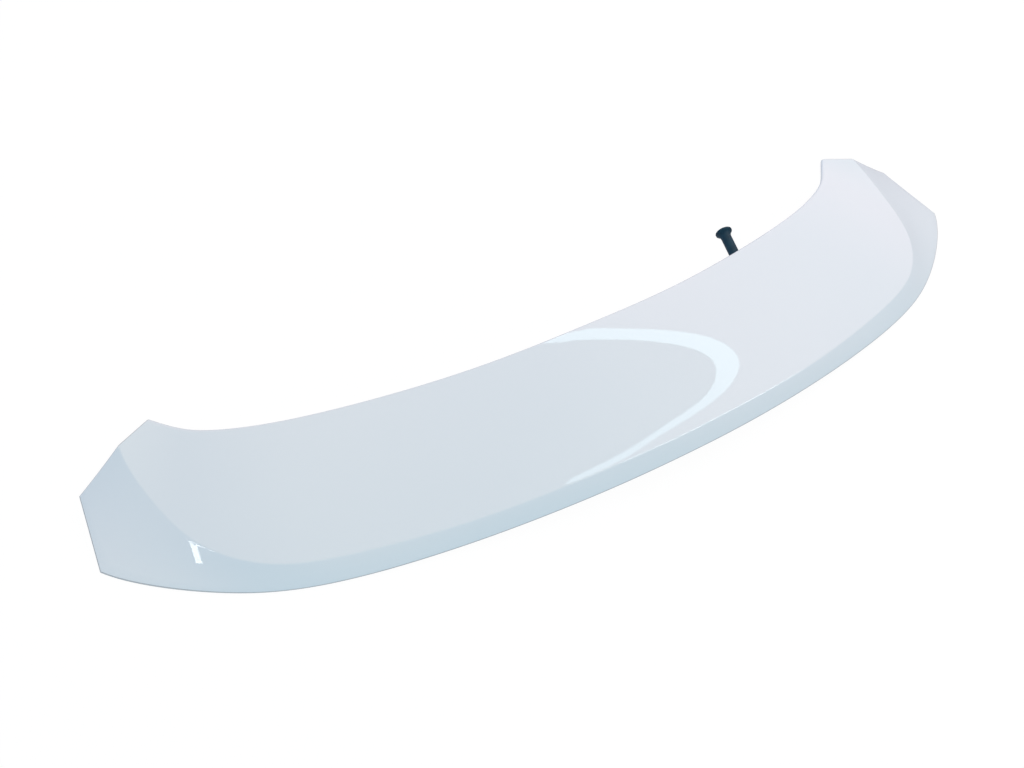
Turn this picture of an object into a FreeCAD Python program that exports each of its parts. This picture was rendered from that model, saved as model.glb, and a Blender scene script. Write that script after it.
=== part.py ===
import FreeCAD, Part
import math
import os

os.makedirs("parts", exist_ok=True)

V = FreeCAD.Vector

# ---------------------------------------------------------------- dimensions
# Millimetres.  X runs to the right seen from behind the car, Y forward, Z up.
# The edge curves are cubic splines mirrored about X = 0; only the right half
# of the poles is listed, from the symmetry plane outwards.

leading_edge_poles = [      # front edge of the deck, centre to horn tip
    (0.0, -110.0, 12.0), (74.7, -107.6, 9.4), (151.1, -99.6, 4.4),
    (232.0, -86.9, 1.0), (311.7, -73.3, 1.1), (381.7, -58.1, 2.7),
    (429.6, -38.5, 1.7), (462.5, -18.6, 0.0), (479.8, 3.9, -1.2),
    (492.8, 19.0, 1.3)]
crease_poles = [            # ridge between deck and trailing band or fin
    (0.0, -294.9, -16.8), (74.5, -290.9, -18.7), (150.5, -283.9, -23.8),
    (229.8, -272.4, -30.2), (307.3, -255.1, -34.7), (381.8, -237.1, -35.5),
    (452.5, -213.8, -33.2), (505.5, -156.4, -28.6), (525.6, -88.4, -21.0),
    (536.2, -24.1, -9.5), (533.7, -0.2, -1.5)]
lower_edge_poles = [        # trailing edge, run on past the fin's rear corner
    (0.0, -309.4, -32.4), (75.1, -307.1, -34.4), (151.9, -299.2, -39.5),
    (231.0, -287.4, -45.7), (308.6, -273.0, -50.0), (383.6, -256.3, -52.0),
    (465.3, -229.4, -52.5), (554.8, -166.3, -51.6), (622.0, -95.0, -52.2),
    (617.0, -55.0, -53.5), (609.6, -21.7, -46.7)]
fin_front_corner = (590.1, -16.2)     # the fin's straight outer edge, in plan
fin_rear_corner = (600.0, -111.5)

shell_wall = 3.0            # painted outer shell
deck_crown = 4.0            # rise of the deck between front edge and crease
band_crown = 0.5            # rise of the trailing band
fin_hollow = 2.5            # the fins are slightly hollow instead
front_flange = 8.2          # turned-down front edge
front_round = 6.0           # cut-back of the rolled front edge
front_reach = 1.6           # how far the unrounded corner stands before the edge line
crease_round = 1.6          # cut-back of the crease rounding

bond_gap = 0.35             # clear bond line between shell and panel
panel_wall = 2.5            # inner panel
panel_end = 0.80            # share of the half span that the panel reaches
panel_blend = 0.66          # where the pan starts to rise to the shell
panel_front = 10.0          # panel's front flange starts this far behind the edge
panel_flange = 13.0         # width of the front flange
panel_step = 15.0           # plan length of the pan's front wall
panel_round = 6.0
pan_floor_mid = -25.0       # height of the pan floor's front line at the centre
pan_floor_side = -31.0      # the same at the outer studs

seat_z = -38.0              # common plane of the four stud seats
rest_z = -54.4              # lowest level: trailing lip and stud tips
inner_stud = (150.0, -176.0)
outer_stud = (365.0, -128.0)
stud_r = 3.0                # M6, free end below the seat
stud_shank_r = 4.0          # plain shank inside the boss
stud_hole_r = 4.05
stud_plate_r = 8.0
stud_plate_t = 2.5
boss_r = 11.0
inner_boss_top = -20.0
outer_boss_top = -28.0
seal_r_in, seal_r_out, seal_t = 4.3, 10.0, 4.0

dowel = (262.0, -156.0)     # moulded locating pins
dowel_r = 4.0
dowel_collar_r = 7.0        # flat collar round the pin's root, level with the stud seats
dowel_tip_z = -51.0

clip = (434.0, -100.0)      # push-in clips near the horns
clip_hole_r = 3.1
clip_seat_z = -38.0

boot_mouth = (267.9, -39.6, -2.0)     # centre of the rubber boot's mouth
boot_dir = (0.213, 0.936, 0.281)      # towards the mouth
boot_bore_r = 4.0
boot_tube_r = 6.9
boot_rim_r = 11.2
boot_lip = 2.6              # thickness of the mouth's lip
boot_flare = 10.5           # length of the trumpet
boot_tube_end = 54.0        # from the mouth to the shoulder of the base sleeve
boot_length = 69.0
boot_sleeve_r = 9.4
spigot_r = 6.8              # moulded spigot that carries the boot
spigot_bore_r = 4.2
spigot_front = 55.0         # from the mouth to the spigot's free end

front_seal_back, front_seal_w, front_seal_t = 3.0, 9.0, 5.0
front_seal_end = 0.62       # share of the half span
fin_pad_t = 3.0             # soft strips inside the fins
fin_pad_from, fin_pad_to = 0.885, 0.965

origin = V(0.0, inner_stud[1], seat_z)     # row origin: centre of the inner stud pair

# ---------------------------------------------------------------- curve maths
def spline(half, s):
    """Point at s in [-1, 1] on the mirrored clamped cubic of the half poles."""
    sign = 1.0 if s >= 0.0 else -1.0
    s = min(abs(s), 1.0)
    full = [(-x, y, z) for x, y, z in reversed(half[1:])] + list(half)
    n, k = len(full), 3
    spans = n - k
    u = (0.5 + 0.5 * s) * spans
    j = min(int(u), spans - 1)
    knot = [min(max(i - k, 0), spans) for i in range(n + k + 1)]
    d = [full[j + i] for i in range(k + 1)]
    for r in range(1, k + 1):
        for i in range(k, r - 1, -1):
            lo, hi = knot[j + i], knot[j + 1 + i + k - r]
            a = (u - lo) / (hi - lo)
            d[i] = tuple((1.0 - a) * p + a * q for p, q in zip(d[i - 1], d[i]))
    x, y, z = d[k]
    return V(sign * x, y, z)


def edge_front(s):
    return spline(leading_edge_poles, s)


def edge_crease(s):
    return spline(crease_poles, s)


def edge_lower(s):
    return spline(lower_edge_poles, s)


def smooth(t):
    t = min(max(t, 0.0), 1.0)
    return t * t * (3.0 - 2.0 * t)


def unit(v):
    return v * (1.0 / v.Length)


def crown_at(s):
    return deck_crown * (1.0 - smooth((abs(s) - 0.55) / 0.45))


def deck(s, t):
    """Outer deck: t = 0 on the front edge, 1 on the crease."""
    a, b = edge_front(s), edge_crease(s)
    n = unit((edge_front(s + 1e-3 if s < 0.999 else s)
              - edge_front(s - 1e-3 if s > -0.999 else s)).cross(b - a))
    if n.z < 0:
        n = n * -1.0
    return a + (b - a) * t + n * (4.0 * crown_at(s) * t * (1.0 - t))


def band(s, t):
    """Outer trailing band and fin: t = 0 on the crease, 1 on the lower edge."""
    a, b = edge_crease(s), edge_lower(s)
    n = unit((edge_crease(s + 1e-3 if s < 0.999 else s)
              - edge_crease(s - 1e-3 if s > -0.999 else s)).cross(b - a))
    if n.z < 0:
        n = n * -1.0
    c = (band_crown * (1.0 - smooth((abs(s) - 0.55) / 0.3))
         - fin_hollow * smooth((abs(s) - 0.62) / 0.22)
         * (1.0 - 0.4 * smooth((abs(s) - 0.86) / 0.14)))
    return a + (b - a) * t + n * (4.0 * c * t * (1.0 - t))


def normal(f, s, t):
    e = 2e-3
    s0, s1 = max(s - e, -1.0), min(s + e, 1.0)
    t0, t1 = max(t - e, 0.0), min(t + e, 1.0)
    n = (f(s1, t) - f(s0, t)).cross(f(s, t1) - f(s, t0))
    n = unit(n)
    return n if n.z > 0 else n * -1.0


def inside(f, s, t, depth):
    """Point at a depth under the outer skin."""
    return f(s, t) - normal(f, s, t) * depth


def bezier(a, b, c, t):
    return a * ((1 - t) ** 2) + b * (2 * t * (1 - t)) + c * (t * t)


def rounded(pts, cut, runs, arc=3):
    """Polyline with rounded inner corners, sampled to a fixed count."""
    out = []
    n = len(pts)
    for i in range(n - 1):
        a, b = pts[i], pts[i + 1]
        length = (b - a).Length
        d = (b - a) * (1.0 / length)
        ca = 0.0 if i == 0 else min(cut, 0.45 * length)
        cb = 0.0 if i == n - 2 else min(cut, 0.45 * length)
        p, q = a + d * ca, b - d * cb
        for j in range(runs[i]):
            out.append(p + (q - p) * (j / (runs[i] - 1.0)))
        if i < n - 2:
            c = pts[i + 2]
            l2 = (c - b).Length
            r = b + (c - b) * (min(cut, 0.45 * l2) / l2)
            for j in range(1, arc + 1):
                out.append(bezier(q, b, r, j / (arc + 1.0)))
    return out


def shell_section(s):
    """Outer skin line at s: front flange, rolled edge, deck, crease, band."""
    a, b, c = edge_front(s), edge_crease(s), edge_lower(s)
    tangent = unit(edge_front(s + 1e-3 if s < 0.999 else s)
                   - edge_front(s - 1e-3 if s > -0.999 else s))
    back = b - a
    back = unit(back - tangent * back.dot(tangent))
    up = tangent.cross(back)
    if up.z < 0:
        up = up * -1.0
    down = unit(up * -0.97 + back * 0.25)
    tip = a - back * front_reach
    out = [tip + down * front_flange, tip + down * (0.5 * (front_flange + front_round)),
           tip + down * front_round]
    chord = (b - a).Length
    t1, t2 = (front_round - front_reach) / chord, 1.0 - crease_round / chord
    d1, d2 = deck(s, t1), deck(s, t2)
    for j in (1, 2, 3):
        out.append(bezier(tip + down * front_round, tip, d1, j / 4.0))
    m = 12
    for j in range(m + 1):
        out.append(deck(s, t1 + (t2 - t1) * j / m))
    t3 = crease_round / (c - b).Length
    d3 = band(s, t3)
    for j in (1, 2, 3):
        out.append(bezier(d2, b, d3, j / 4.0))
    m = 5
    for j in range(m + 1):
        out.append(band(s, t3 + (1.0 - t3) * j / m))
    return out


def panel_section(s):
    """Upper face of the inner panel at s: front flange, wall, floor, rear flange."""
    depth = shell_wall + bond_gap
    a, b = edge_front(s), edge_crease(s)
    chord = (b - a).Length
    f0 = inside(deck, s, panel_front / chord, depth)
    f1 = inside(deck, s, (panel_front + panel_flange) / chord, depth)
    tg = (panel_front + panel_flange + panel_step) / chord
    r0 = inside(band, s, 0.45, depth)
    r1 = inside(band, s, 0.85, depth)
    n = unit(normal(deck, s, 0.97) + normal(band, s, 0.10))
    corner = edge_crease(s) - n * (depth * 1.12)
    g_end = inside(deck, s, tg, depth)
    drop = smooth(abs(s) / 0.6)
    g_pan = V(g_end.x, g_end.y, pan_floor_mid + (pan_floor_side - pan_floor_mid) * drop)
    h_pan = g_pan + (r0 - g_pan) * 0.88
    w = smooth((abs(s) - panel_blend) / (panel_end - 0.02 - panel_blend))
    g = g_pan * (1.0 - w) + g_end * w
    h = h_pan * (1.0 - w) + (corner + (g_end - corner) * 0.08) * w
    return rounded([f0, f1, g, h, r0, r1], panel_round, [3, 3, 7, 2, 3])


def grid_normals(g):
    ni, nj = len(g), len(g[0])
    out = []
    for i in range(ni):
        row = []
        for j in range(nj):
            du = g[min(i + 1, ni - 1)][j] - g[max(i - 1, 0)][j]
            dv = g[i][min(j + 1, nj - 1)] - g[i][max(j - 1, 0)]
            row.append(unit(du.cross(dv)))
        out.append(row)
    return out


def offset_grid(g, d):
    n = grid_normals(g)
    mid = n[len(g) // 2][len(g[0]) // 2]
    k = -1.0 if mid.z > 0 else 1.0
    return [[p + q * (k * d) for p, q in zip(r, m)] for r, m in zip(g, n)]


def sheet(top, bottom):
    """Closed solid between two cubic spline faces with these pole grids."""
    faces, rims = [], []
    for g in (top, bottom):
        surf = Part.BSplineSurface()
        nu, nv = len(g), len(g[0])
        surf.buildFromPolesMultsKnots(
            g, [4] + [1] * (nu - 4) + [4], [4] + [1] * (nv - 4) + [4],
            [float(i) for i in range(nu - 2)], [float(i) for i in range(nv - 2)],
            False, False, 3, 3)
        u0, u1, v0, v1 = surf.bounds()
        faces.append(surf.toShape())
        rims.append([surf.uIso(u0), surf.uIso(u1), surf.vIso(v0), surf.vIso(v1)])
    for a, b in zip(*rims):
        faces.append(Part.makeRuledSurface(a.toShape(), b.toShape()))
    shell = Part.makeShell(faces)
    shell.sewShape()
    solid = Part.makeSolid(shell)
    if solid.Volume < 0:
        solid.reverse()
    return solid


def tube_along(base, axis, profile):
    """Solid of revolution about an axis; profile is (radius, distance) pairs."""
    pts = [V(r, 0, z) for r, z in profile]
    wire = Part.makePolygon(pts + [pts[0]])
    solid = Part.Face(wire).revolve(V(0, 0, 0), V(0, 0, 1), 360)
    solid.Placement = FreeCAD.Placement(base, FreeCAD.Rotation(V(0, 0, 1), axis))
    return solid


def cylinder(x, y, z0, z1, r):
    return Part.makeCylinder(r, z1 - z0, V(x, y, z0), V(0, 0, 1))


def mirrored(shape):
    return shape.mirror(V(0, 0, 0), V(1, 0, 0))


# ---------------------------------------------------------------- outer shell
half = 60
outer = [shell_section(i / half) for i in range(-half, half + 1)]
upper_shell = sheet(outer, offset_grid(outer, shell_wall))

# straight outer edges of the fins
(bx, by), (cx, cy) = fin_front_corner, fin_rear_corner
ex, ey = (bx - cx) / (by - cy), 1.0
trim = Part.Face(Part.makePolygon([
    V(cx - 90 * ex, cy - 90 * ey, -150), V(bx + 90 * ex, by + 90 * ey, -150),
    V(800, by + 90, -150), V(800, cy - 90, -150),
    V(cx - 90 * ex, cy - 90 * ey, -150)])).extrude(V(0, 0, 250))
upper_shell = upper_shell.cut(trim).cut(mirrored(trim))

# ---------------------------------------------------------------- inner panel
ph = 48
ptop = [panel_section(panel_end * i / ph) for i in range(-ph, ph + 1)]
pbot = offset_grid(ptop, panel_wall)
lower_panel = sheet(ptop, pbot)

axis = unit(V(*boot_dir))
mouth = V(*boot_mouth)


def on_axis(d):
    """Point on the boot's axis at a distance behind the mouth."""
    return mouth - axis * d


adds, cuts = [], []
for sx in (-1, 1):
    for (x, y), top in ((inner_stud, inner_boss_top), (outer_stud, outer_boss_top)):
        adds.append(cylinder(sx * x, y, seat_z, top, boss_r))
        cuts.append(cylinder(sx * x, y, seat_z - 5, top + 5, stud_hole_r))
    adds.append(cylinder(sx * dowel[0], dowel[1], seat_z, -29.0, dowel_collar_r))
    adds.append(cylinder(sx * dowel[0], dowel[1], dowel_tip_z + 2, seat_z, dowel_r))
    adds.append(Part.makeCone(dowel_r - 1.5, dowel_r, 2.0,
                              V(sx * dowel[0], dowel[1], dowel_tip_z), V(0, 0, 1)))
    adds.append(cylinder(sx * clip[0], clip[1], clip_seat_z, -16.0, 9.0))
    cuts.append(cylinder(sx * clip[0], clip[1], clip_seat_z - 5, clip_seat_z + 11.0, clip_hole_r))
spigot = Part.makeCylinder(spigot_r, 31.0, on_axis(spigot_front + 31.0), axis)
adds.append(spigot)
cuts.append(Part.makeCylinder(spigot_bore_r, 60.0, on_axis(spigot_front + 50.0), axis))
for a in adds:
    lower_panel = lower_panel.fuse(a)
for c in cuts:
    lower_panel = lower_panel.cut(c)

# ---------------------------------------------------------------- fixings
studs, seals, clips = [], [], []
for sx in (-1, 1):
    for (x, y), top in ((inner_stud, inner_boss_top), (outer_stud, outer_boss_top)):
        at = V(sx * x, y, 0)
        studs.append(tube_along(at, V(0, 0, 1), [
            (0, rest_z), (stud_r - 1.0, rest_z), (stud_r, rest_z + 1.5), (stud_r, seat_z),
            (stud_shank_r, seat_z), (stud_shank_r, top),
            (stud_plate_r, top), (stud_plate_r, top + stud_plate_t - 0.6),
            (stud_plate_r - 0.6, top + stud_plate_t), (0, top + stud_plate_t)]))
        seals.append(tube_along(at, V(0, 0, 1), [
            (seal_r_in, seat_z - seal_t), (seal_r_out - 0.6, seat_z - seal_t),
            (seal_r_out, seat_z - seal_t + 0.6), (seal_r_out, seat_z), (seal_r_in, seat_z)]))
    at = V(sx * clip[0], clip[1], clip_seat_z)
    clips.append(tube_along(at, V(0, 0, 1), [
        (0, -13.6), (1.4, -13.6), (4.6, -9.6), (4.6, -9.0), (2.6, -9.0), (4.9, -6.4),
        (4.9, -5.8), (2.6, -5.8), (5.0, -3.4), (5.0, -2.8), (3.0, -2.8), (3.0, -1.8),
        (7.4, -1.8), (7.4, -0.9), (6.6, 0.0), (3.0, 0.0), (3.0, 9.0), (2.4, 10.0), (0, 10.0)]))

# ---------------------------------------------------------------- rubber and foam
c = boot_length
hose_boot = tube_along(on_axis(c), axis, [
    (spigot_r + 0.05, 0.0), (boot_sleeve_r - 0.8, 0.0), (boot_sleeve_r, 0.8),
    (boot_sleeve_r, c - boot_tube_end - 1.5), (boot_sleeve_r - 1.5, c - boot_tube_end),
    (boot_tube_r, c - boot_tube_end + 1.0), (boot_tube_r, c - boot_flare),
    (boot_tube_r + 0.3, c - boot_flare + 2.3), (boot_tube_r + 1.0, c - boot_flare + 4.3),
    (boot_tube_r + 2.3, c - boot_flare + 6.1), (boot_rim_r - 0.5, c - boot_lip - 0.5),
    (boot_rim_r, c - boot_lip + 0.3), (boot_rim_r, c - 0.6), (boot_rim_r - 0.6, c),
    (boot_rim_r - 2.2, c), (boot_bore_r + 2.0, c - 6.0), (boot_bore_r + 0.9, c - 10.5),
    (boot_bore_r, c - 15.0), (boot_bore_r, c - boot_tube_end - 0.9),
    (spigot_r + 0.05, c - boot_tube_end - 0.9)])


def seal_section(s, extra):
    """Strip under the pan floor, just behind the front wall."""
    depth = shell_wall + bond_gap
    chord = (edge_crease(s) - edge_front(s)).Length
    g = inside(deck, s, (panel_front + panel_flange + panel_step) / chord, depth)
    g = V(g.x, g.y, pan_floor_mid + (pan_floor_side - pan_floor_mid) * smooth(abs(s) / 0.6))
    r0 = inside(band, s, 0.45, depth)
    u = unit(r0 - g)
    n = V(1, 0, 0).cross(u)
    n = unit(n if n.z > 0 else n * -1.0)
    base = g - n * (panel_wall + bond_gap + extra)
    return [base + u * (front_seal_back + front_seal_w * j / 3.0) for j in range(4)]


m = 40
front_seal = sheet([seal_section(front_seal_end * i / m, 0.0) for i in range(-m, m + 1)],
                   [seal_section(front_seal_end * i / m, front_seal_t) for i in range(-m, m + 1)])


def pad_grid(depth):
    out = []
    for i in range(13):
        s = fin_pad_from + (fin_pad_to - fin_pad_from) * i / 12.0
        out.append([inside(band, s, 0.18 + 0.20 * j / 3.0, depth) for j in range(4)])
    return out


pad = sheet(pad_grid(shell_wall + bond_gap), pad_grid(shell_wall + bond_gap + fin_pad_t))
fin_pads = Part.Compound([pad, mirrored(pad)])

solids = {
    "upper_shell": upper_shell,
    "lower_panel": lower_panel,
    "fixing_studs": Part.Compound(studs),
    "stud_seals": Part.Compound(seals),
    "push_clips": Part.Compound(clips),
    "front_seal": front_seal,
    "hose_boot": hose_boot,
    "fin_pads": fin_pads,
}

for name, shape in solids.items():
    print(name, shape.isValid(), len(shape.Solids), round(shape.Volume / 1000.0, 1), "cm3", shape.BoundBox)
    shape = shape.copy()
    shape.translate(origin * -1.0)
    shape.exportStep("parts/" + name + ".step")
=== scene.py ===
import math

import bmesh
import bpy
import numpy as np
from mathutils import Matrix, Vector
from mathutils.kdtree import KDTree


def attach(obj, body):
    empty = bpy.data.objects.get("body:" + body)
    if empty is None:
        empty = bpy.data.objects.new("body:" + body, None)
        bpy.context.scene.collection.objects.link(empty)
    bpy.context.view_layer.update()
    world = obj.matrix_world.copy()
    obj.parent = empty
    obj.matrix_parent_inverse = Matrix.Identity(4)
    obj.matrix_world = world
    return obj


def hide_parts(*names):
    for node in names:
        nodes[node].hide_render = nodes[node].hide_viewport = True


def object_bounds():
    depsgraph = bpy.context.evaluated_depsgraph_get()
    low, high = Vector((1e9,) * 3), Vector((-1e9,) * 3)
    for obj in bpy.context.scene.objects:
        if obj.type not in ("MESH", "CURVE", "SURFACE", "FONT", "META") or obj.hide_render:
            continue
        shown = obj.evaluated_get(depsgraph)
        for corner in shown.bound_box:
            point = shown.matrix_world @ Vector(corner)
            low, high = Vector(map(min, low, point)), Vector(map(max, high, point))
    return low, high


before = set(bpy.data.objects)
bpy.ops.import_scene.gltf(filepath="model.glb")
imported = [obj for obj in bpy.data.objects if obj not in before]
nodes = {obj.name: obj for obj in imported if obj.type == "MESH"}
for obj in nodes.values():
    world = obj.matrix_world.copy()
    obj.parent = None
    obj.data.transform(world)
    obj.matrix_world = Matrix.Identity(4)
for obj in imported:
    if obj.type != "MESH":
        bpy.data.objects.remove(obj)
cad_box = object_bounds()
scene = bpy.context.scene

MM = 0.001
ORIGIN = np.array([0.0, -176.0, -38.0])     # row origin in the drawing's millimetres

# ------------------------------------------------------------------ edge curves
# Right half of each mirrored cubic, from the symmetry plane outwards, in mm.
FRONT = [(0, -110, 12), (74.7, -107.6, 9.4), (151.1, -99.6, 4.4), (232, -86.9, 1),
         (311.7, -73.3, 1.1), (381.7, -58.1, 2.7), (429.6, -38.5, 1.7),
         (462.5, -18.6, 0), (479.8, 3.9, -1.2), (492.8, 19, 1.3)]
CREASE = [(0, -294.9, -16.8), (74.5, -290.9, -18.7), (150.5, -283.9, -23.8),
          (229.8, -272.4, -30.2), (307.3, -255.1, -34.7), (381.8, -237.1, -35.5),
          (452.5, -213.8, -33.2), (505.5, -156.4, -28.6), (525.6, -88.4, -21.0),
          (536.2, -24.1, -9.5), (533.7, -0.2, -1.5)]
LOWER = [(0, -309.4, -32.4), (75.1, -307.1, -34.4), (151.9, -299.2, -39.5),
         (231, -287.4, -45.7), (308.6, -273, -50), (383.6, -256.3, -52),
         (465.3, -229.4, -52.5), (554.8, -166.3, -51.6), (622, -95, -52.2),
         (617, -55, -53.5), (609.6, -21.7, -46.7)]
FIN_FRONT, FIN_REAR = (590.1, -16.2), (600.0, -111.5)
WALL = 3.0
BOND = 0.35


def basis(n, u):
    """Clamped uniform cubic basis of n poles at u in [0, n - 3]."""
    u = np.atleast_1d(np.asarray(u, float))
    k = 3
    kn = np.clip(np.arange(n + k + 1) - k, 0, n - k).astype(float)
    j = np.clip(np.floor(u).astype(int), 0, n - k - 1)
    b = np.zeros((len(u), n + k))
    b[np.arange(len(u)), j + k] = 1.0
    for d in range(1, k + 1):
        nb = np.zeros_like(b)
        for i in range(n + k - d):
            lo, hi = kn[i + d] - kn[i], kn[i + d + 1] - kn[i + 1]
            if lo > 0:
                nb[:, i] += (u - kn[i]) / lo * b[:, i]
            if hi > 0:
                nb[:, i] += (kn[i + d + 1] - u) / hi * b[:, i + 1]
        b = nb
    return b[:, :n]


def edge(half, s):
    h = np.array(half, float)
    full = np.vstack([h[:0:-1] * [-1, 1, 1], h])
    s = np.clip(np.asarray(s, float), -1, 1)
    return basis(len(full), (0.5 + 0.5 * s) * (len(full) - 3)) @ full


def smooth(t):
    t = np.clip(t, 0, 1)
    return t * t * (3 - 2 * t)


def unit(v):
    return v / np.linalg.norm(v, axis=-1, keepdims=True)


def tangent(half, s):
    return unit(edge(half, np.where(s < .999, s + 1e-3, s)) - edge(half, np.where(s > -.999, s - 1e-3, s)))


def strip(a_half, b_half, s, t, crown):
    a, b = edge(a_half, s), edge(b_half, s)
    n = unit(np.cross(tangent(a_half, s), b - a))
    n = n * np.where(n[:, 2:] < 0, -1, 1)
    return a + (b - a) * t[:, None] + n * (4 * crown * t * (1 - t))[:, None]


def deck(s, t):
    return strip(FRONT, CREASE, s, t, 4.0 * (1 - smooth((abs(s) - .55) / .45)))


def band(s, t):
    hollow = 2.5 * smooth((abs(s) - .62) / .22) * (1 - .4 * smooth((abs(s) - .86) / .14))
    return strip(CREASE, LOWER, s, t, 0.5 * (1 - smooth((abs(s) - .55) / .3)) - hollow)


def normal_of(f, s, t, e=2e-3):
    s0, s1 = np.clip(s - e, -1, 1), np.clip(s + e, -1, 1)
    t0, t1 = np.clip(t - e, 0, 1), np.clip(t + e, 0, 1)
    n = unit(np.cross(f(s1, t) - f(s0, t), f(s, t1) - f(s, t0)))
    return n * np.where(n[:, 2:] < 0, -1, 1)


def inside(f, s, t, depth):
    return f(s, t) - normal_of(f, s, t) * depth


def bezier(p, q, r, t):
    return p * (1 - t) ** 2 + q * 2 * t * (1 - t) + r * t * t


def shell_poles():
    s = np.arange(-60, 61) / 60.0
    a, b, c = edge(FRONT, s), edge(CREASE, s), edge(LOWER, s)
    tg = tangent(FRONT, s)
    back = b - a
    back = unit(back - tg * (back * tg).sum(1, keepdims=True))
    up = np.cross(tg, back)
    up = up * np.where(up[:, 2:] < 0, -1, 1)
    down = unit(-.97 * up + .25 * back)
    flange, cut, reach, cr = 8.2, 6.0, 1.6, 1.6
    tip = a - back * reach
    rows = [tip + down * flange, tip + down * .5 * (flange + cut), tip + down * cut]
    chord = np.linalg.norm(b - a, axis=1)
    t1, t2 = (cut - reach) / chord, 1 - cr / chord
    d1, d2 = deck(s, t1), deck(s, t2)
    rows += [bezier(tip + down * cut, tip, d1, j / 4) for j in (1, 2, 3)]
    rows += [deck(s, t1 + (t2 - t1) * j / 12) for j in range(13)]
    t3 = cr / np.linalg.norm(c - b, axis=1)
    d3 = band(s, t3)
    rows += [bezier(d2, b, d3, j / 4) for j in (1, 2, 3)]
    rows += [band(s, t3 + (1 - t3) * j / 5) for j in range(6)]
    return np.stack(rows, 1)


def grid_normals(g):
    du = np.vstack([g[1:], g[-1:]]) - np.vstack([g[:1], g[:-1]])
    dv = np.concatenate([g[:, 1:], g[:, -1:]], 1) - np.concatenate([g[:, :1], g[:, :-1]], 1)
    return unit(np.cross(du, dv))


def offset_poles(g, d):
    n = grid_normals(g)
    k = -1.0 if n[len(g) // 2, g.shape[1] // 2, 2] > 0 else 1.0
    return g + k * d * n


# ------------------------------------------------------------------ mesh helpers
def place(points):
    """Drawing millimetres to the row frame in metres."""
    return (np.asarray(points, float) - ORIGIN) * MM


def mesh_object(name, verts, faces, materials, smooth_shade=True):
    me = bpy.data.meshes.new(name)
    me.from_pydata([tuple(map(float, v)) for v in verts], [], [tuple(map(int, f)) for f in faces])
    me.validate()
    me.update()
    for m in materials:
        me.materials.append(m)
    ob = bpy.data.objects.new(name, me)
    scene.collection.objects.link(ob)
    if smooth_shade:
        me.shade_smooth()
    return ob


def outward(ob):
    bm = bmesh.new()
    bm.from_mesh(ob.data)
    bmesh.ops.recalc_face_normals(bm, faces=bm.faces)
    if bm.calc_volume(signed=True) < 0:
        bmesh.ops.reverse_faces(bm, faces=bm.faces)
    bm.to_mesh(ob.data)
    bm.free()
    ob.data.update()


def grid_faces(nu, nv, start=0, flip=False):
    i, j = np.meshgrid(np.arange(nu - 1), np.arange(nv - 1), indexing="ij")
    a = start + i * nv + j
    f = np.stack([a, a + nv, a + nv + 1, a + 1], -1).reshape(-1, 4)
    return f[:, ::-1] if flip else f


def rounded_line(pts, cuts, steps=4):
    """Profile with its corners rounded off by the given cut-backs."""
    pts = [np.array(p, float) for p in pts]
    out = [pts[0]]
    for i in range(1, len(pts) - 1):
        a, b, c = pts[i - 1], pts[i], pts[i + 1]
        la, lc = np.linalg.norm(a - b), np.linalg.norm(c - b)
        k = min(cuts[i], .49 * la, .49 * lc)
        if k <= 0:
            out.append(b)
            continue
        p, r = b + (a - b) / la * k, b + (c - b) / lc * k
        out += [bezier(p, b, r, t) for t in np.linspace(0, 1, steps + 1)]
    out.append(pts[-1])
    return np.array(out)


def spin(profile, base, axis, seg, radius_at=None):
    """Vertices and faces of a turned form. A profile that starts and ends on
    the axis is closed by its poles, any other profile is closed on itself."""
    axis = unit(np.array(axis, float))
    side = unit(np.cross(axis, [0.0, 0.0, 1.0] if abs(axis[2]) < .9 else [0.0, 1.0, 0.0]))
    other = np.cross(axis, side)
    capped = profile[0][0] < 1e-9 and profile[-1][0] < 1e-9
    rows = profile[1:-1] if capped else profile
    th = np.linspace(0, 2 * math.pi, seg, endpoint=False)
    ring = np.cos(th)[:, None] * side + np.sin(th)[:, None] * other
    verts = []
    for k, (r, d) in enumerate(rows):
        rr = np.full(seg, r) if radius_at is None else radius_at(r, d, th)
        verts.append(base + axis * d + ring * rr[:, None])
    verts = np.concatenate(verts)
    n = len(rows)
    faces = []
    for k in range(n - 1 if capped else n):
        a, b = k * seg, ((k + 1) % n) * seg
        for i in range(seg):
            j = (i + 1) % seg
            faces.append((a + i, a + j, b + j, b + i))
    if capped:
        lo, hi = len(verts), len(verts) + 1
        verts = np.vstack([verts, base + axis * profile[0][1], base + axis * profile[-1][1]])
        for i in range(seg):
            j = (i + 1) % seg
            faces.append((lo, j, i))
            faces.append((hi, (n - 1) * seg + i, (n - 1) * seg + j))
    return verts, faces


def join(parts):
    verts, faces, n = [], [], 0
    for v, f in parts:
        verts.append(v)
        faces += [tuple(i + n for i in q) for q in f]
        n += len(v)
    return np.concatenate(verts), faces


# ------------------------------------------------------------------ materials
def material(name):
    m = bpy.data.materials.new(name)
    m.use_nodes = True
    nt = m.node_tree
    return m, nt, nt.nodes["Principled BSDF"]


def add(nt, kind, **sets):
    n = nt.nodes.new(kind)
    for k, v in sets.items():
        if hasattr(n, k):
            setattr(n, k, v)
        else:
            n.inputs[k].default_value = v
    return n


def noise(nt, scale, detail=2.0, rough=0.5, coords="Object"):
    tc = add(nt, "ShaderNodeTexCoord")
    n = add(nt, "ShaderNodeTexNoise")
    n.inputs["Scale"].default_value = scale
    n.inputs["Detail"].default_value = detail
    n.inputs["Roughness"].default_value = rough
    nt.links.new(tc.outputs[coords], n.inputs["Vector"])
    return n


def ramp(nt, fac, stops):
    r = add(nt, "ShaderNodeValToRGB")
    el = r.color_ramp.elements
    while len(el) < len(stops):
        el.new(0.5)
    for e, (p, c) in zip(el, stops):
        e.position = p
        e.color = (*c, 1.0)
    nt.links.new(fac, r.inputs["Fac"])
    return r


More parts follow.
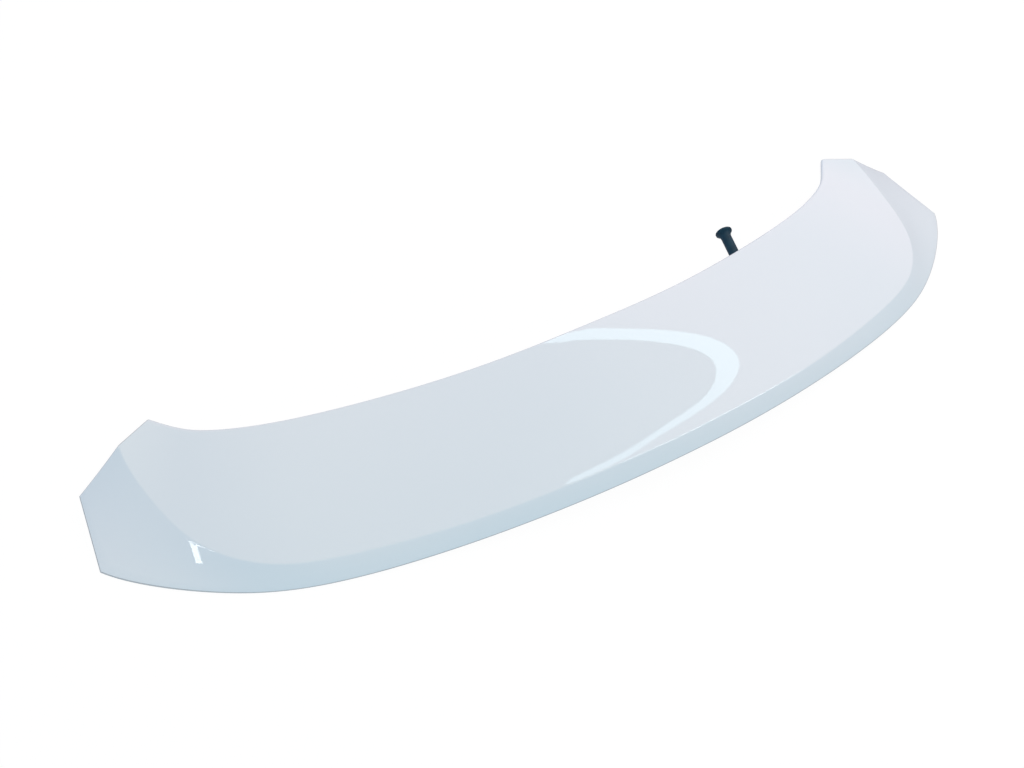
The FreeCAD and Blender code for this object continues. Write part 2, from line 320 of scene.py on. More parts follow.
def bump(nt, height, strength, distance, into=None):
    b = add(nt, "ShaderNodeBump")
    b.inputs["Strength"].default_value = strength
    b.inputs["Distance"].default_value = distance
    nt.links.new(height, b.inputs["Height"])
    if into is not None:
        nt.links.new(into.outputs["Normal"], b.inputs["Normal"])
    return b


def map_range(nt, value, a, b, c, d):
    m = add(nt, "ShaderNodeMapRange")
    for k, v in zip(("From Min", "From Max", "To Min", "To Max"), (a, b, c, d)):
        m.inputs[k].default_value = v
    nt.links.new(value, m.inputs["Value"])
    return m


def make_paint():
    """White base coat under a clear coat with a trace of orange peel."""
    m, nt, p = material("white_paint")
    wide = noise(nt, 3.0, 2.0)
    tone = ramp(nt, wide.outputs["Fac"], [(0.3, (0.743, 0.793, 0.834)), (0.7, (0.757, 0.807, 0.846))])
    nt.links.new(tone.outputs["Color"], p.inputs["Base Color"])
    fine = noise(nt, 260.0, 3.0)
    rough = map_range(nt, fine.outputs["Fac"], 0.3, 0.7, 0.42, 0.48)
    nt.links.new(rough.outputs["Result"], p.inputs["Roughness"])
    p.inputs["Specular IOR Level"].default_value = 0.2
    p.inputs["Coat Weight"].default_value = 1.0
    p.inputs["Coat Roughness"].default_value = 0.02
    p.inputs["Coat IOR"].default_value = 1.5
    peel = noise(nt, 180.0, 1.0)
    b = bump(nt, peel.outputs["Fac"], 0.12, 0.00002)
    nt.links.new(b.outputs["Normal"], p.inputs["Coat Normal"])
    return m


def make_shell_inside_and_rim_shade():
    """Unpainted inner face of the shell, with spray that reached round the rim. On the rim walls and rounds its dark
    also serves as painted shade along the lower edges.
    """
    m, nt, p = material("shell_inside_and_rim_shade")
    spray = add(nt, "ShaderNodeAttribute", attribute_name="spray")
    speck = noise(nt, 900.0, 4.0, 0.7)
    cloud = noise(nt, 26.0, 3.0, 0.6)
    soft = add(nt, "ShaderNodeMath", operation="MULTIPLY_ADD")
    nt.links.new(cloud.outputs["Fac"], soft.inputs[0])
    soft.inputs[1].default_value = 0.6
    nt.links.new(speck.outputs["Fac"], soft.inputs[2])
    edge_at = add(nt, "ShaderNodeMath", operation="MULTIPLY_ADD")
    nt.links.new(spray.outputs["Fac"], edge_at.inputs[0])
    edge_at.inputs[1].default_value = 1.5
    edge_at.inputs[2].default_value = -0.85
    total = add(nt, "ShaderNodeMath", operation="ADD")
    nt.links.new(edge_at.outputs[0], total.inputs[0])
    nt.links.new(soft.outputs[0], total.inputs[1])
    fac = map_range(nt, total.outputs[0], 0.35, 1.1, 0.0, 1.0)
    tone = ramp(nt, fac.outputs["Result"], [(0.0, (0.030, 0.031, 0.033)), (0.45, (0.14, 0.145, 0.152)), (1.0, (0.50, 0.51, 0.525))])
    nt.links.new(tone.outputs["Color"], p.inputs["Base Color"])
    r = map_range(nt, speck.outputs["Fac"], 0.3, 0.7, 0.42, 0.58)
    nt.links.new(r.outputs["Result"], p.inputs["Roughness"])
    b = bump(nt, speck.outputs["Fac"], 0.25, 0.00006)
    nt.links.new(b.outputs["Normal"], p.inputs["Normal"])
    return m


def make_grained(name, dark, light, grain=620.0, depth=0.00012, rough=(0.46, 0.62)):
    """Moulded black plastic with a fine leather-like grain."""
    m, nt, p = material(name)
    tc = add(nt, "ShaderNodeTexCoord")
    cells = add(nt, "ShaderNodeTexVoronoi", feature="SMOOTH_F1")
    cells.inputs["Scale"].default_value = grain
    cells.inputs["Smoothness"].default_value = 0.35
    nt.links.new(tc.outputs["Object"], cells.inputs["Vector"])
    flow = noise(nt, 9.0, 3.0, 0.55)
    tone = ramp(nt, flow.outputs["Fac"], [(0.3, dark), (0.7, light)])
    nt.links.new(tone.outputs["Color"], p.inputs["Base Color"])
    r = map_range(nt, cells.outputs["Distance"], 0.0, 0.7, rough[0], rough[1])
    nt.links.new(r.outputs["Result"], p.inputs["Roughness"])
    b = bump(nt, cells.outputs["Distance"], 0.5, depth)
    nt.links.new(b.outputs["Normal"], p.inputs["Normal"])
    return m


def make_rubber():
    """Moulded rubber, satin, with a slight bloom."""
    m, nt, p = material("black_rubber")
    cloud = noise(nt, 120.0, 3.0, 0.6)
    tone = ramp(nt, cloud.outputs["Fac"], [(0.3, (0.005, 0.027, 0.048)), (0.72, (0.011, 0.048, 0.077))])
    nt.links.new(tone.outputs["Color"], p.inputs["Base Color"])
    fine = noise(nt, 1400.0, 2.0)
    r = map_range(nt, cloud.outputs["Fac"], 0.3, 0.7, 0.48, 0.6)
    nt.links.new(r.outputs["Result"], p.inputs["Roughness"])
    b = bump(nt, fine.outputs["Fac"], 0.25, 0.00005)
    nt.links.new(b.outputs["Normal"], p.inputs["Normal"])
    p.inputs["Specular IOR Level"].default_value = 0.2
    return m


def make_foam(name, dark, light, cell):
    """Closed-cell foam: small round pits all over."""
    m, nt, p = material(name)
    tc = add(nt, "ShaderNodeTexCoord")
    cells = add(nt, "ShaderNodeTexVoronoi", feature="F1")
    cells.inputs["Scale"].default_value = cell
    nt.links.new(tc.outputs["Object"], cells.inputs["Vector"])
    small = noise(nt, cell * 0.6, 3.0, 0.6)
    tone = ramp(nt, cells.outputs["Distance"], [(0.05, dark), (0.55, light)])
    nt.links.new(tone.outputs["Color"], p.inputs["Base Color"])
    r = map_range(nt, small.outputs["Fac"], 0.3, 0.7, 0.82, 0.95)
    nt.links.new(r.outputs["Result"], p.inputs["Roughness"])
    b = bump(nt, cells.outputs["Distance"], 0.7, 0.0005)
    nt.links.new(b.outputs["Normal"], p.inputs["Normal"])
    p.inputs["Specular IOR Level"].default_value = 0.25
    return m


def make_zinc():
    """Zinc plating with a pale yellow-green passivate film."""
    m, nt, p = material("zinc_steel")
    cloud = noise(nt, 160.0, 3.0, 0.6)
    tone = ramp(nt, cloud.outputs["Fac"], [(0.3, (0.56, 0.57, 0.56)), (0.55, (0.66, 0.65, 0.60)), (0.75, (0.62, 0.60, 0.50))])
    nt.links.new(tone.outputs["Color"], p.inputs["Base Color"])
    p.inputs["Metallic"].default_value = 1.0
    fine = noise(nt, 900.0, 3.0, 0.6)
    r = map_range(nt, fine.outputs["Fac"], 0.3, 0.7, 0.24, 0.42)
    nt.links.new(r.outputs["Result"], p.inputs["Roughness"])
    b = bump(nt, fine.outputs["Fac"], 0.2, 0.00003)
    nt.links.new(b.outputs["Normal"], p.inputs["Normal"])
    return m


def make_nylon():
    """Natural nylon: milky, slightly uneven, satin."""
    m, nt, p = material("natural_nylon")
    cloud = noise(nt, 90.0, 3.0, 0.55)
    tone = ramp(nt, cloud.outputs["Fac"], [(0.3, (0.70, 0.67, 0.58)), (0.7, (0.80, 0.78, 0.70))])
    nt.links.new(tone.outputs["Color"], p.inputs["Base Color"])
    r = map_range(nt, cloud.outputs["Fac"], 0.3, 0.7, 0.36, 0.48)
    nt.links.new(r.outputs["Result"], p.inputs["Roughness"])
    p.inputs["Subsurface Weight"].default_value = 0.15
    p.inputs["Subsurface Radius"].default_value = (0.001, 0.0008, 0.0006)
    fine = noise(nt, 700.0, 2.0)
    b = bump(nt, fine.outputs["Fac"], 0.15, 0.00004)
    nt.links.new(b.outputs["Normal"], p.inputs["Normal"])
    return m


paint = make_paint()
raw_abs_and_rim_shade = make_shell_inside_and_rim_shade()
panel_black = make_grained("black_plastic", (0.022, 0.023, 0.025), (0.031, 0.032, 0.034))
rubber = make_rubber()
grey_foam = make_foam("grey_foam", (0.10, 0.104, 0.112), (0.20, 0.206, 0.216), 1500.0)
black_foam = make_foam("black_foam", (0.018, 0.018, 0.020), (0.042, 0.042, 0.045), 1300.0)
zinc = make_zinc()
nylon = make_nylon()


# ------------------------------------------------------------------ outer shell
def fin_side(p):
    """Positive beyond the straight outer edge of the fins."""
    (bx, by), (cx, cy) = FIN_FRONT, FIN_REAR
    return np.abs(p[..., 0]) - (cx + (p[..., 1] - cy) * (bx - cx) / (by - cy))


def build_shell():
    top = shell_poles()
    under = offset_poles(top, WALL)
    nu, nv = top.shape[:2]
    u_end, v_end = nu - 3.0, nv - 3.0
    mid = u_end / 2

    def corner(g):
        """Where the lower edge meets the fin's outer edge."""
        u = np.linspace(mid, u_end, 4001)
        side = fin_side(basis(nu, u) @ g[:, -1])
        k = np.nonzero(side > 0)[0][0]
        return u[k - 1] + (u[k] - u[k - 1]) * (0 - side[k - 1]) / (side[k] - side[k - 1])

    uc = corner(top)
    n1, n2 = 190, 46
    share = np.concatenate([np.linspace(0, 1, n1 + 1), 1 + np.linspace(0, 1, n2 + 1)[1:]])

    def stations(c):
        half = np.where(share <= 1, mid + (c - mid) * share, c + (u_end - c) * (share - 1))
        return np.concatenate([(u_end - half)[:0:-1], half])

    v_front = np.concatenate([[0, .45, .9], np.linspace(1.4, 5.2, 9), np.linspace(5.8, 16.6, 22), np.linspace(17.1, 21.0, 14)])
    n_band = 11

    def skin(g):
        u = stations(corner(g))
        curves = np.einsum("ui,ijk->ujk", basis(nu, u), g)
        rows = []
        probe = np.linspace(20.0, v_end, 301)
        bp = basis(nv, probe)
        for c in curves:
            side = fin_side(bp @ c)
            end = v_end
            if side[-1] > 0:
                k = np.nonzero(side > 0)[0][0]
                end = probe[k - 1] + (probe[k] - probe[k - 1]) * (0 - side[k - 1]) / (side[k] - side[k - 1])
            v = np.concatenate([v_front, 21.0 + (end - 21.0) * np.linspace(0, 1, n_band + 1)[1:]])
            rows.append(basis(nv, v) @ c)
        return np.array(rows)

    a, b = skin(top), skin(under)
    ni, nj = a.shape[:2]
    verts = np.concatenate([a.reshape(-1, 3), b.reshape(-1, 3)])
    base = ni * nj
    faces = [grid_faces(ni, nj), grid_faces(ni, nj, base, flip=True)]
    i, j = np.arange(ni), np.arange(nj)
    loops = [i * nj, i * nj + nj - 1, j, (ni - 1) * nj + j]
    for k, line in enumerate(loops):
        p, q = line[:-1], line[1:]
        quad = np.stack([p, q, q + base, p + base], -1)
        faces.append(quad if k in (1, 2) else quad[:, ::-1])
    ob = mesh_object("painted_shell", place(verts), np.concatenate(faces), [paint, raw_abs_and_rim_shade])

    # rim edges get a small round, as a moulded and painted edge has
    bm = bmesh.new()
    bm.from_mesh(ob.data)
    bmesh.ops.recalc_face_normals(bm, faces=bm.faces)
    if bm.calc_volume(signed=True) < 0:
        bmesh.ops.reverse_faces(bm, faces=bm.faces)
    bm.verts.ensure_lookup_table()
    keep = set()
    for line in loops:
        for p, q in zip(line[:-1], line[1:]):
            for o in (0, base):
                keep.add(frozenset((int(p) + o, int(q) + o)))
    rim = [e for e in bm.edges if frozenset((e.verts[0].index, e.verts[1].index)) in keep]
    # distance to the rim on the inner skin, for the spray that reached round
    lay = bm.verts.layers.float.new("spray")
    step = np.linalg.norm(np.diff(b, axis=1), axis=2)
    to_front = np.concatenate([np.zeros((ni, 1)), np.cumsum(step, 1)], 1)
    to_back = to_front[:, -1:] - to_front
    side_step = np.linalg.norm(np.diff(b, axis=0), axis=2)
    run = np.concatenate([np.zeros((1, nj)), np.cumsum(side_step, 0)], 0)
    to_tip = np.minimum(run, run[-1:] - run)
    near = np.minimum(np.minimum(to_front, to_back), to_tip)
    value = .62 * np.exp(-near / 12.0).reshape(-1)
    for k in range(base):
        bm.verts[k][lay] = 1.0
        bm.verts[base + k][lay] = float(value[k])
    for f in bm.faces:              # inner skin and rim walls take the unpainted inside; on the rim walls this dark is painted shade along the lower edge, where the paint also thins out
        if any(v.index >= base for v in f.verts):
            f.material_index = 1
    done = bmesh.ops.bevel(bm, geom=rim, offset=0.0011, offset_type="OFFSET", segments=4, profile=0.5,
                           affect="EDGES", clamp_overlap=False)
    front = place(np.concatenate([a[:, 0], b[:, 0]]))
    tree = KDTree(len(front))
    for k, q in enumerate(front):
        tree.insert(Vector(q), k)
    tree.balance()
    # the rim rounds take the same dark: painted shade along the rear and fin edges
    for f in done["faces"]:
        f.material_index = 1
    # the front flange's rim keeps the white paint and gets no painted shade
    for f in bm.faces:
        if f.material_index == 1 and tree.find(f.calc_center_median())[2] < 0.0030:
            f.material_index = 0
    for f in bm.faces:
        f.smooth = True
    bm.to_mesh(ob.data)
    bm.free()
    ob.data.update()
    return ob


shell = build_shell()
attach(shell, "root")
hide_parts("upper_shell")


# ------------------------------------------------------------------ rubber boot
BOOT_AXIS = unit(np.array([0.213, 0.936, 0.281]))
BOOT_MOUTH = np.array([267.9, -39.6, -2.0])


def build_boot():
    c = 69.0
    pts = [(6.85, 0.0), (9.4, 0.0), (9.4, c - 54.0), (6.9, c - 53.2), (6.9, c - 10.5),
           (7.2, c - 8.2), (7.9, c - 6.2), (9.2, c - 4.4), (10.7, c - 3.1), (11.2, c - 2.3),
           (11.2, c), (9.0, c), (6.0, c - 6.0), (4.9, c - 10.5), (4.0, c - 15.0),
           (4.0, c - 54.9), (6.85, c - 54.9)]
    cuts = [.4, .8, 1.6, .6, 3.0, 1.1, 1.0, 1.0, .5, .4, 1.0, .9, 2.4, 2.2, 2.2, .3, .3]
    line = rounded_line([pts[-1]] + pts + [pts[0]], [cuts[-1]] + cuts + [cuts[0]], 5)[1:-1]
    # keep rounded corners closed on themselves
    keep = [line[0]]
    for p in line[1:]:
        if np.linalg.norm(p - keep[-1]) > 0.02:
            keep.append(p)
    if np.linalg.norm(keep[0] - keep[-1]) < 0.02:
        keep.pop()
    # long straight runs get rows of their own
    dense = []
    for a, b in zip(keep, keep[1:] + keep[:1]):
        n = max(1, int(np.linalg.norm(b - a) / 2.5))
        dense += [a + (b - a) * k / n for k in range(n)]
    v, f = spin(dense, np.zeros(3), BOOT_AXIS, 72)
    ob = mesh_object("hose_boot_rubber", place(v + BOOT_MOUTH - BOOT_AXIS * c), f, [rubber])
    outward(ob)
    return ob


boot = build_boot()
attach(boot, "root")
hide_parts("hose_boot")

# ------------------------------------------------------------------ studs, foam rings, clips
SEAT, TIP = -38.0, -54.4
STUDS = [(150.0, -176.0, -20.0), (365.0, -128.0, -28.0)]
PITCH = 1.0


def build_stud(x, y, top):
    rows = [(0.0, TIP), (1.8, TIP), (2.0, TIP + .02)]
    z = np.arange(TIP + .15, SEAT - 1.2, PITCH / 10)
    rows += [(-1.0, d) for d in z]
    rows += [(2.45, SEAT - 1.1), (2.45, SEAT - .25), (2.6, SEAT - .05), (3.0, SEAT), (3.8, SEAT), (4.0, SEAT + .2),
             (4.0, top - .05), (4.2, top), (7.7, top), (8.0, top + .3), (8.0, top + 1.8), (7.8, top + 2.2),
             (7.3, top + 2.5), (0.0, top + 2.5)]

    def radius(r, d, th):
        if r >= 0:
            return np.full(len(th), r)
        ph = np.mod(d / PITCH - th / (2 * math.pi), 1.0)
        tri = 1 - np.abs(2 * ph - 1)
        full = 2.42 + .58 * np.clip((tri - .12) / .72, 0, 1)
        lead = 2.0 + (d - TIP) / 1.5           # turned-down start of the thread
        run = 2.42 + .58 * np.clip((SEAT - 1.2 - d) / .9, 0, 1)
        return np.minimum(np.minimum(full, lead), run)

    return spin(rows, np.array([x, y, 0.0]), (0, 0, 1), 48, radius)


def build_ring(x, y, k):
    pts = [(4.3, SEAT), (4.3, SEAT - 4.0), (10.0, SEAT - 4.0), (10.0, SEAT)]
    cuts = [.12, .55, .8, .12]
    line = rounded_line([pts[-1]] + pts + [pts[0]], [cuts[-1]] + cuts + [cuts[0]], 5)[1:-1]
    v, f = spin(list(line), np.array([x, y, 0.0]), (0, 0, 1), 72)
    # a stamped foam ring is never quite flat or even; its top stays on the boss
    d = np.clip((SEAT - v[:, 2]) / 4.0, 0, 1)
    th = np.arctan2(v[:, 1] - y, v[:, 0] - x)
    v[:, 2] += d * (.10 * np.sin(3 * th + k) + .06 * np.sin(7 * th + 2 * k)) + d * .16
    return v, f


def build_clip(x, y):
    z = SEAT
    pts = [(0, -13.6), (1.4, -13.6), (4.6, -9.6), (4.6, -9.0), (2.6, -9.0), (4.9, -6.4), (4.9, -5.8), (2.6, -5.8),
           (5.0, -3.4), (5.0, -2.8), (3.0, -2.8), (3.0, -1.8), (7.4, -1.8), (7.4, -.9), (6.6, 0), (3.0, 0), (3.0, 9.0),
           (2.4, 10.0), (0, 10.0)]
    line = rounded_line([(r, d + z) for r, d in pts], [0, .5] + [.22] * 15 + [.3, 0], 3)
    return spin(list(line), np.array([x, y, 0.0]), (0, 0, 1), 56)


stud_v, stud_f = join([build_stud(sx * x, y, t) for sx in (-1, 1) for x, y, t in STUDS])
studs = mesh_object("threaded_studs", place(stud_v), stud_f, [zinc])
outward(studs)
studs.data.set_sharp_from_angle(angle=math.radians(40))
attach(studs, "root")
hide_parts("fixing_studs")

ring_v, ring_f = join([build_ring(sx * x, y, 1.7 * k + sx) for sx in (-1, 1) for k, (x, y, t) in enumerate(STUDS)])
rings = mesh_object("foam_rings", place(ring_v), ring_f, [grey_foam])
outward(rings)
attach(rings, "root")
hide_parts("stud_seals")

clip_v, clip_f = join([build_clip(sx * 434.0, -100.0) for sx in (-1, 1)])
clips = mesh_object("barbed_clips", place(clip_v), clip_f, [nylon])
outward(clips)
clips.data.set_sharp_from_angle(angle=math.radians(50))
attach(clips, "root")
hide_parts("push_clips")


# ------------------------------------------------------------------ sponge strips
def build_front_strip():
    n = 241
    s = np.linspace(-.62, .62, n)
    chord = np.linalg.norm(edge(CREASE, s) - edge(FRONT, s), axis=1)
    g = inside(deck, s, 38.0 / chord, WALL + BOND)
    g[:, 2] = -25.0 - 6.0 * smooth(np.abs(s) / .6)
    r0 = inside(band, s, np.full(n, .45), WALL + BOND)
    u = unit(r0 - g)
    w = np.cross([1.0, 0.0, 0.0], u)
    w = unit(w * np.where(w[:, 2:] < 0, -1, 1))
    base = g - w * (2.5 + BOND)
    # section: flat on the bonded side, rounded below
    line = rounded_line([(0, 0), (9, 0), (9, 5), (0, 5), (0, 0), (9, 0)], [0, .25, 2.0, 2.0, .25, 0], 6)
    line = line[1:-1]
    line = np.array([p for k, p in enumerate(line) if np.linalg.norm(p - line[k - 1]) > 1e-3])
    m = len(line)
    wob = .12 * np.sin(np.arange(n) * .61) + .08 * np.sin(np.arange(n) * 1.37)
    pts = []
    for k in range(n):
        e = min(k, n - 1 - k)
        shrink = 1 - .22 * max(0, (2 - e)) ** 2 / 4
        q = line.copy()
        q[:, 0] = 4.5 + (q[:, 0] - 4.5) * shrink
        q[:, 1] = q[:, 1] * (1 - .03 - .02 * wob[k]) * (shrink if e < 2 else 1)
        pts.append(base[k] + u[k] * (3.0 + q[:, :1]) - w[k] * q[:, 1:])
    v = np.concatenate(pts)
    f = []
    for k in range(n - 1):
        for j in range(m):
            h = (j + 1) % m
            f.append((k * m + j, k * m + h, (k + 1) * m + h, (k + 1) * m + j))
    c0, c1 = len(v), len(v) + 1
    v = np.vstack([v, v[:m].mean(0), v[-m:].mean(0)])
    for j in range(m):
        h = (j + 1) % m
        f.append((c0, h, j))
        f.append((c1, (n - 1) * m + j, (n - 1) * m + h))
    ob = mesh_object("front_sponge_strip", place(v), f, [black_foam])
    outward(ob)
    return ob


strip_ob = build_front_strip()
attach(strip_ob, "root")
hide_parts("front_seal")


def build_fin_pads():
    ni, nj = 61, 19
    parts = []
    a = np.linspace(0, 1, ni)
    b = np.linspace(0, 1, nj)
    aa, bb = [q.reshape(-1) for q in np.meshgrid(a, b, indexing="ij")]
    s, t = .885 + .08 * aa, .18 + .20 * bb
    n = normal_of(band, s, t)
    top = band(s, t) - n * (WALL + BOND)
    length = np.linalg.norm(np.diff(band(.885 + .08 * a, np.full(ni, .28)), axis=0), axis=1).sum()
    wide = np.linalg.norm(band(np.array([.925]), np.array([.38])) - band(np.array([.925]), np.array([.18])))
    d = np.minimum(np.minimum(aa, 1 - aa) * length, np.minimum(bb, 1 - bb) * wide)
    edge_round = np.sqrt(np.clip(1 - (1 - np.clip(d / 1.6, 0, 1)) ** 2, 0, 1))
    low = band(s, t) - n * (WALL + BOND + .25 + 2.7 * edge_round)[:, None]
    v = np.concatenate([top, low])
    k = ni * nj
    f = [tuple(q) for q in grid_faces(ni, nj)] + [tuple(q) for q in grid_faces(ni, nj, k, flip=True)]
    i, j = np.arange(ni), np.arange(nj)
    for line in (i * nj, i * nj + nj - 1, j, (ni - 1) * nj + j):
        f += [(p, q, q + k, p + k) for p, q in zip(line[:-1], line[1:])]
    parts.append((v, f))
    parts.append((v * [-1, 1, 1], [q[::-1] for q in f]))
    v, f = join(parts)
    ob = mesh_object("fin_sponge_pads", place(v), f, [black_foam])
    outward(ob)
    return ob


pads = build_fin_pads()
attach(pads, "root")
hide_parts("fin_pads")

# ------------------------------------------------------------------ inner panel keeps its CAD shape
panel = nodes["lower_panel"]
panel.data.materials.clear()
panel.data.materials.append(panel_black)


# ------------------------------------------------------------------ stage
def make_floor():
    m = bpy.data.materials.new("studio_floor")
    m.use_nodes = True
    nt = m.node_tree
    p = nt.nodes["Principled BSDF"]
    cloud = noise(nt, 1.2, 2.0)
    tone = ramp(nt, cloud.outputs["Fac"], [(0.3, (0.029, 0.030, 0.031)), (0.7, (0.033, 0.034, 0.035))])
    nt.links.new(tone.outputs["Color"], p.inputs["Base Color"])
    p.inputs["Roughness"].default_value = 0.9
    p.inputs["Specular IOR Level"].default_value = 0.0
    p.inputs["Emission Color"].default_value = (1.0, 1.0, 1.0, 1.0)
    p.inputs["Emission Strength"].default_value = 0.975
    geo = add(nt, "ShaderNodeNewGeometry")
    clear = add(nt, "ShaderNodeBsdfTransparent")
    mix = add(nt, "ShaderNodeMixShader")
    nt.links.new(geo.outputs["Backfacing"], mix.inputs[0])
    nt.links.new(p.outputs["BSDF"], mix.inputs[1])
    nt.links.new(clear.outputs["BSDF"], mix.inputs[2])
    nt.links.new(mix.outputs["Shader"], nt.nodes["Material Output"].inputs["Surface"])
    z = float(cad_box[0][2]) - 0.0002
    r, n = 14.0, 64
    v = [(0, 0, z)] + [(r * math.cos(2 * math.pi * k / n), r * math.sin(2 * math.pi * k / n), z) for k in range(n)]
    f = [(0, 1 + k, 1 + (k + 1) % n) for k in range(n)]
    ob = mesh_object("studio_floor", v, f, [m], smooth_shade=False)
    ob.visible_glossy = False       # reflections look through to the dome's own lower lobe
    return ob


make_floor()


def make_backdrop():
    """Pale surround that only the camera sees, so that it lights nothing."""
    m = bpy.data.materials.new("pale_backdrop")
    m.use_nodes = True
    nt = m.node_tree
    nt.nodes.remove(nt.nodes["Principled BSDF"])
    em = add(nt, "ShaderNodeEmission")
    em.inputs["Color"].default_value = (0.90, 0.905, 0.91, 1.0)
    em.inputs["Strength"].default_value = 1.0
    nt.links.new(em.outputs["Emission"], nt.nodes["Material Output"].inputs["Surface"])
    nu, nv, r = 48, 24, 13.0
    v = [(r * math.sin(math.pi * (j + .02) / (nv - .96)) * math.cos(2 * math.pi * i / nu),
          r * math.sin(math.pi * (j + .02) / (nv - .96)) * math.sin(2 * math.pi * i / nu),
          r * math.cos(math.pi * (j + .02) / (nv - .96))) for j in range(nv) for i in range(nu)]
    f = [(j * nu + i, j * nu + (i + 1) % nu, (j + 1) * nu + (i + 1) % nu, (j + 1) * nu + i)
         for j in range(nv - 1) for i in range(nu)]
    ob = mesh_object("pale_backdrop", v, f, [m])
    ob.visible_diffuse = ob.visible_glossy = ob.visible_transmission = False
    ob.visible_volume_scatter = ob.visible_shadow = False
    return ob


make_backdrop()


def make_lamp(name, outer, inner, z, strength, colour, clear=False, gleam=False):
    """Flat luminous strip overhead; outer and inner are its two edges."""
    m = bpy.data.materials.new(name)
    m.use_nodes = True
    nt = m.node_tree
    nt.nodes.remove(nt.nodes["Principled BSDF"])
    em = add(nt, "ShaderNodeEmission")
    em.inputs["Color"].default_value = (*colour, 1.0)
    em.inputs["Strength"].default_value = strength
    out = em.outputs["Emission"]
    if clear:                       # the dome behind it still shows through
        see = add(nt, "ShaderNodeBsdfTransparent")
        both = add(nt, "ShaderNodeAddShader")
        nt.links.new(out, both.inputs[0])
        nt.links.new(see.outputs["BSDF"], both.inputs[1])
        out = both.outputs["Shader"]
    nt.links.new(out, nt.nodes["Material Output"].inputs["Surface"])
    n = len(outer)
    v = [(x, y, z) for x, y in outer] + [(x, y, z) for x, y in inner]
    f = [(k, k + 1, n + k + 1, n + k) for k in range(n - 1)]
    ob = mesh_object(name, v, f, [m], smooth_shade=False)
    ob.visible_camera = False
    ob.visible_diffuse = not gleam  # a gleam shows in the clear coat and adds no light
    return ob


ARC_OUT = [(1.30, 2.60), (1.05, 1.95), (0.945, 1.58), (0.916, 1.391), (0.901, 1.283), (0.916, 1.2), (0.954, 1.136),
           (1.01, 1.086), (1.079, 1.047), (1.156, 1.014), (1.234, 0.981), (1.311, 0.946), (1.384, 0.904), (1.454, 0.853),
           (1.518, 0.792), (1.573, 0.722), (1.613, 0.647), (1.636, 0.57), (1.638, 0.494), (1.612, 0.425), (1.551, 0.366),
           (1.483, 0.319), (1.404, 0.281), (1.321, 0.25), (1.239, 0.224), (1.157, 0.203), (1.076, 0.184), (0.995, 0.168),
           (0.913, 0.153), (0.83, 0.139), (0.748, 0.124), (0.666, 0.108), (0.584, 0.09), (0.503, 0.07), (0.426, 0.042),
           (0.355, 0.001), (0.292, -0.056), (0.239, -0.106), (0.211, -0.04), (0.19, 0.03)]
ARC_IN = [(0.869, 1.998), (0.72, 1.45), (0.667, 1.163), (0.695, 1.068), (0.76, 1.032), (0.825, 1.003), (0.889, 0.977),
          (0.953, 0.953), (1.016, 0.93), (1.079, 0.906), (1.141, 0.88), (1.204, 0.85), (1.266, 0.814), (1.328, 0.772),
          (1.387, 0.722), (1.437, 0.667), (1.471, 0.608), (1.482, 0.546), (1.471, 0.484), (1.438, 0.426), (1.394, 0.376),
          (1.341, 0.335), (1.282, 0.301), (1.218, 0.273), (1.149, 0.25), (1.079, 0.231), (1.007, 0.214), (0.937, 0.198),
          (0.868, 0.182), (0.801, 0.167), (0.735, 0.153), (0.669, 0.139), (0.603, 0.127), (0.536, 0.117), (0.466, 0.109),
          (0.395, 0.103), (0.32, 0.1), (0.274, 0.096), (0.236, 0.094), (0.2, 0.07)]
LAMP_Z = 1.638
make_lamp("arc_lamp", ARC_OUT, ARC_IN, LAMP_Z, 4.4, (0.80, 0.965, 1.0))
# broad soft panel over the right side, from the arc outwards
PANEL_X = 4.6
make_lamp("side_panel", ARC_OUT[:38] + [(0.25, -0.33)],
          [(1.30, 4.0), (1.7, 4.0), (2.1, 4.0), (2.6, 4.0), (3.1, 4.0), (3.6, 4.0), (4.1, 4.0), (PANEL_X, 4.0)]
          + [(PANEL_X, 4.0 - 4.33 * k / 15) for k in range(1, 16)]
          + [(PANEL_X - (PANEL_X - 0.3) * k / 15, -0.33) for k in range(1, 16)] + [(0.28, -0.345)],
          LAMP_Z + 0.001, 0.80, (1.0, 0.70, 0.71), True)
# narrow strip that the crease picks up on the right
make_lamp("crease_strip",
          [(0.10, -0.640), (0.28, -0.600), (0.46, -0.57), (0.65, -0.55), (0.89, -0.56), (1.13, -0.53), (1.36, -0.49), (1.57, -0.47),
           (1.78, -0.46), (1.98, -0.45), (2.18, -0.43)],
          [(0.10, -0.645), (0.29, -0.675), (0.48, -0.73), (0.68, -0.80), (0.93, -0.86), (1.21, -0.87), (1.46, -0.85), (1.69, -0.82),
           (1.92, -0.77), (2.12, -0.68), (2.24, -0.52)], LAMP_Z, 7.5, (0.95, 0.98, 1.0), gleam=True)
# thin strip over the left rear corner
make_lamp("corner_strip",
          [(-1.986, 0.402), (-2.013, 0.327), (-2.025, 0.251), (-2.017, 0.172), (-1.991, 0.098), (-1.923, 0.027), (-1.846, -0.032)],
          [(-2.017, 0.320), (-2.047, 0.212), (-2.072, 0.134), (-2.063, 0.064), (-2.035, -0.011), (-1.958, -0.080), (-1.898, -0.137)],
          LAMP_Z, 11.0, (0.95, 0.98, 1.0), gleam=True)


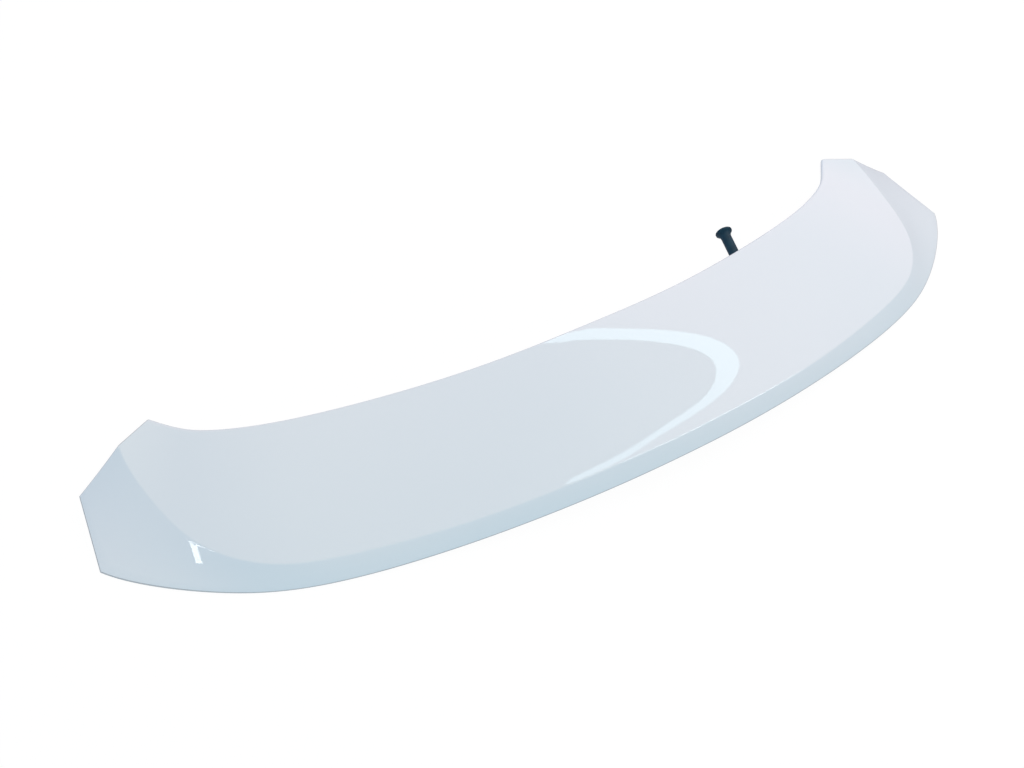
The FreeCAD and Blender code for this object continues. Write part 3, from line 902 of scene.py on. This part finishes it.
def make_world():
    """Soft dome: an even part, and lobes that fall off from their own directions."""
    w = bpy.data.worlds.new("studio_dome")
    scene.world = w
    w.use_nodes = True
    nt = w.node_tree
    bg = nt.nodes["Background"]
    tc = add(nt, "ShaderNodeTexCoord")
    lobes = [((0, 0, 1), (0.77, 0.66, 0.47)), ((-1, 0, 0.15), (-0.10, -0.05, 0.02)), ((0, -1, 0.15), (-0.13, 0.02, 0.05)),
             ((-0.7, -0.7, 0.3), (-0.17, 0.03, 0.10)), ((-0.7, 0.7, 0.3), (-0.10, -0.10, -0.03)),
             ((0, 0, -1), (0.52, 0.51, 0.44))]
    last = None
    for axis, colour in lobes:
        dot = add(nt, "ShaderNodeVectorMath", operation="DOT_PRODUCT")
        nt.links.new(tc.outputs["Generated"], dot.inputs[0])
        dot.inputs[1].default_value = tuple(float(x) for x in unit(np.array(axis, float)))
        pos = add(nt, "ShaderNodeMath", operation="MAXIMUM")
        nt.links.new(dot.outputs["Value"], pos.inputs[0])
        pos.inputs[1].default_value = 0.0
        fall = add(nt, "ShaderNodeMath", operation="POWER")
        nt.links.new(pos.outputs[0], fall.inputs[0])
        fall.inputs[1].default_value = 2.0
        tint = add(nt, "ShaderNodeVectorMath", operation="SCALE")
        tint.inputs[0].default_value = colour
        nt.links.new(fall.outputs[0], tint.inputs["Scale"])
        total = add(nt, "ShaderNodeVectorMath", operation="ADD")
        nt.links.new(tint.outputs[0], total.inputs[0])
        if last is None:
            total.inputs[1].default_value = (0.478, 0.488, 0.565)
        else:
            nt.links.new(last.outputs[0], total.inputs[1])
        last = total
    nt.links.new(last.outputs[0], bg.inputs["Color"])
    bg.inputs["Strength"].default_value = 1.0


make_world()

# ------------------------------------------------------------------ camera
cam = bpy.data.cameras.new("camera")
cam.sensor_fit = "HORIZONTAL"
cam.sensor_width = 36.0
cam.lens = 1127.02 / 1024.0 * 36.0
cam.clip_start, cam.clip_end = 0.05, 60.0
cam_ob = bpy.data.objects.new("camera", cam)
scene.collection.objects.link(cam_ob)
right = Vector((0.85631, -0.51646, 0.0))
up = Vector((0.36429, 0.60400, 0.70886))
back = Vector((-0.36610, -0.60700, 0.70535))
rot = Matrix((right, up, back)).transposed().to_4x4()
cam_ob.matrix_world = Matrix.Translation((-0.5911, -0.7463, 0.9452)) @ rot
scene.camera = cam_ob

scene.view_settings.view_transform = "Standard"
scene.view_settings.look = "None"
scene.view_settings.exposure = 0.0
scene.view_settings.gamma = 1.0
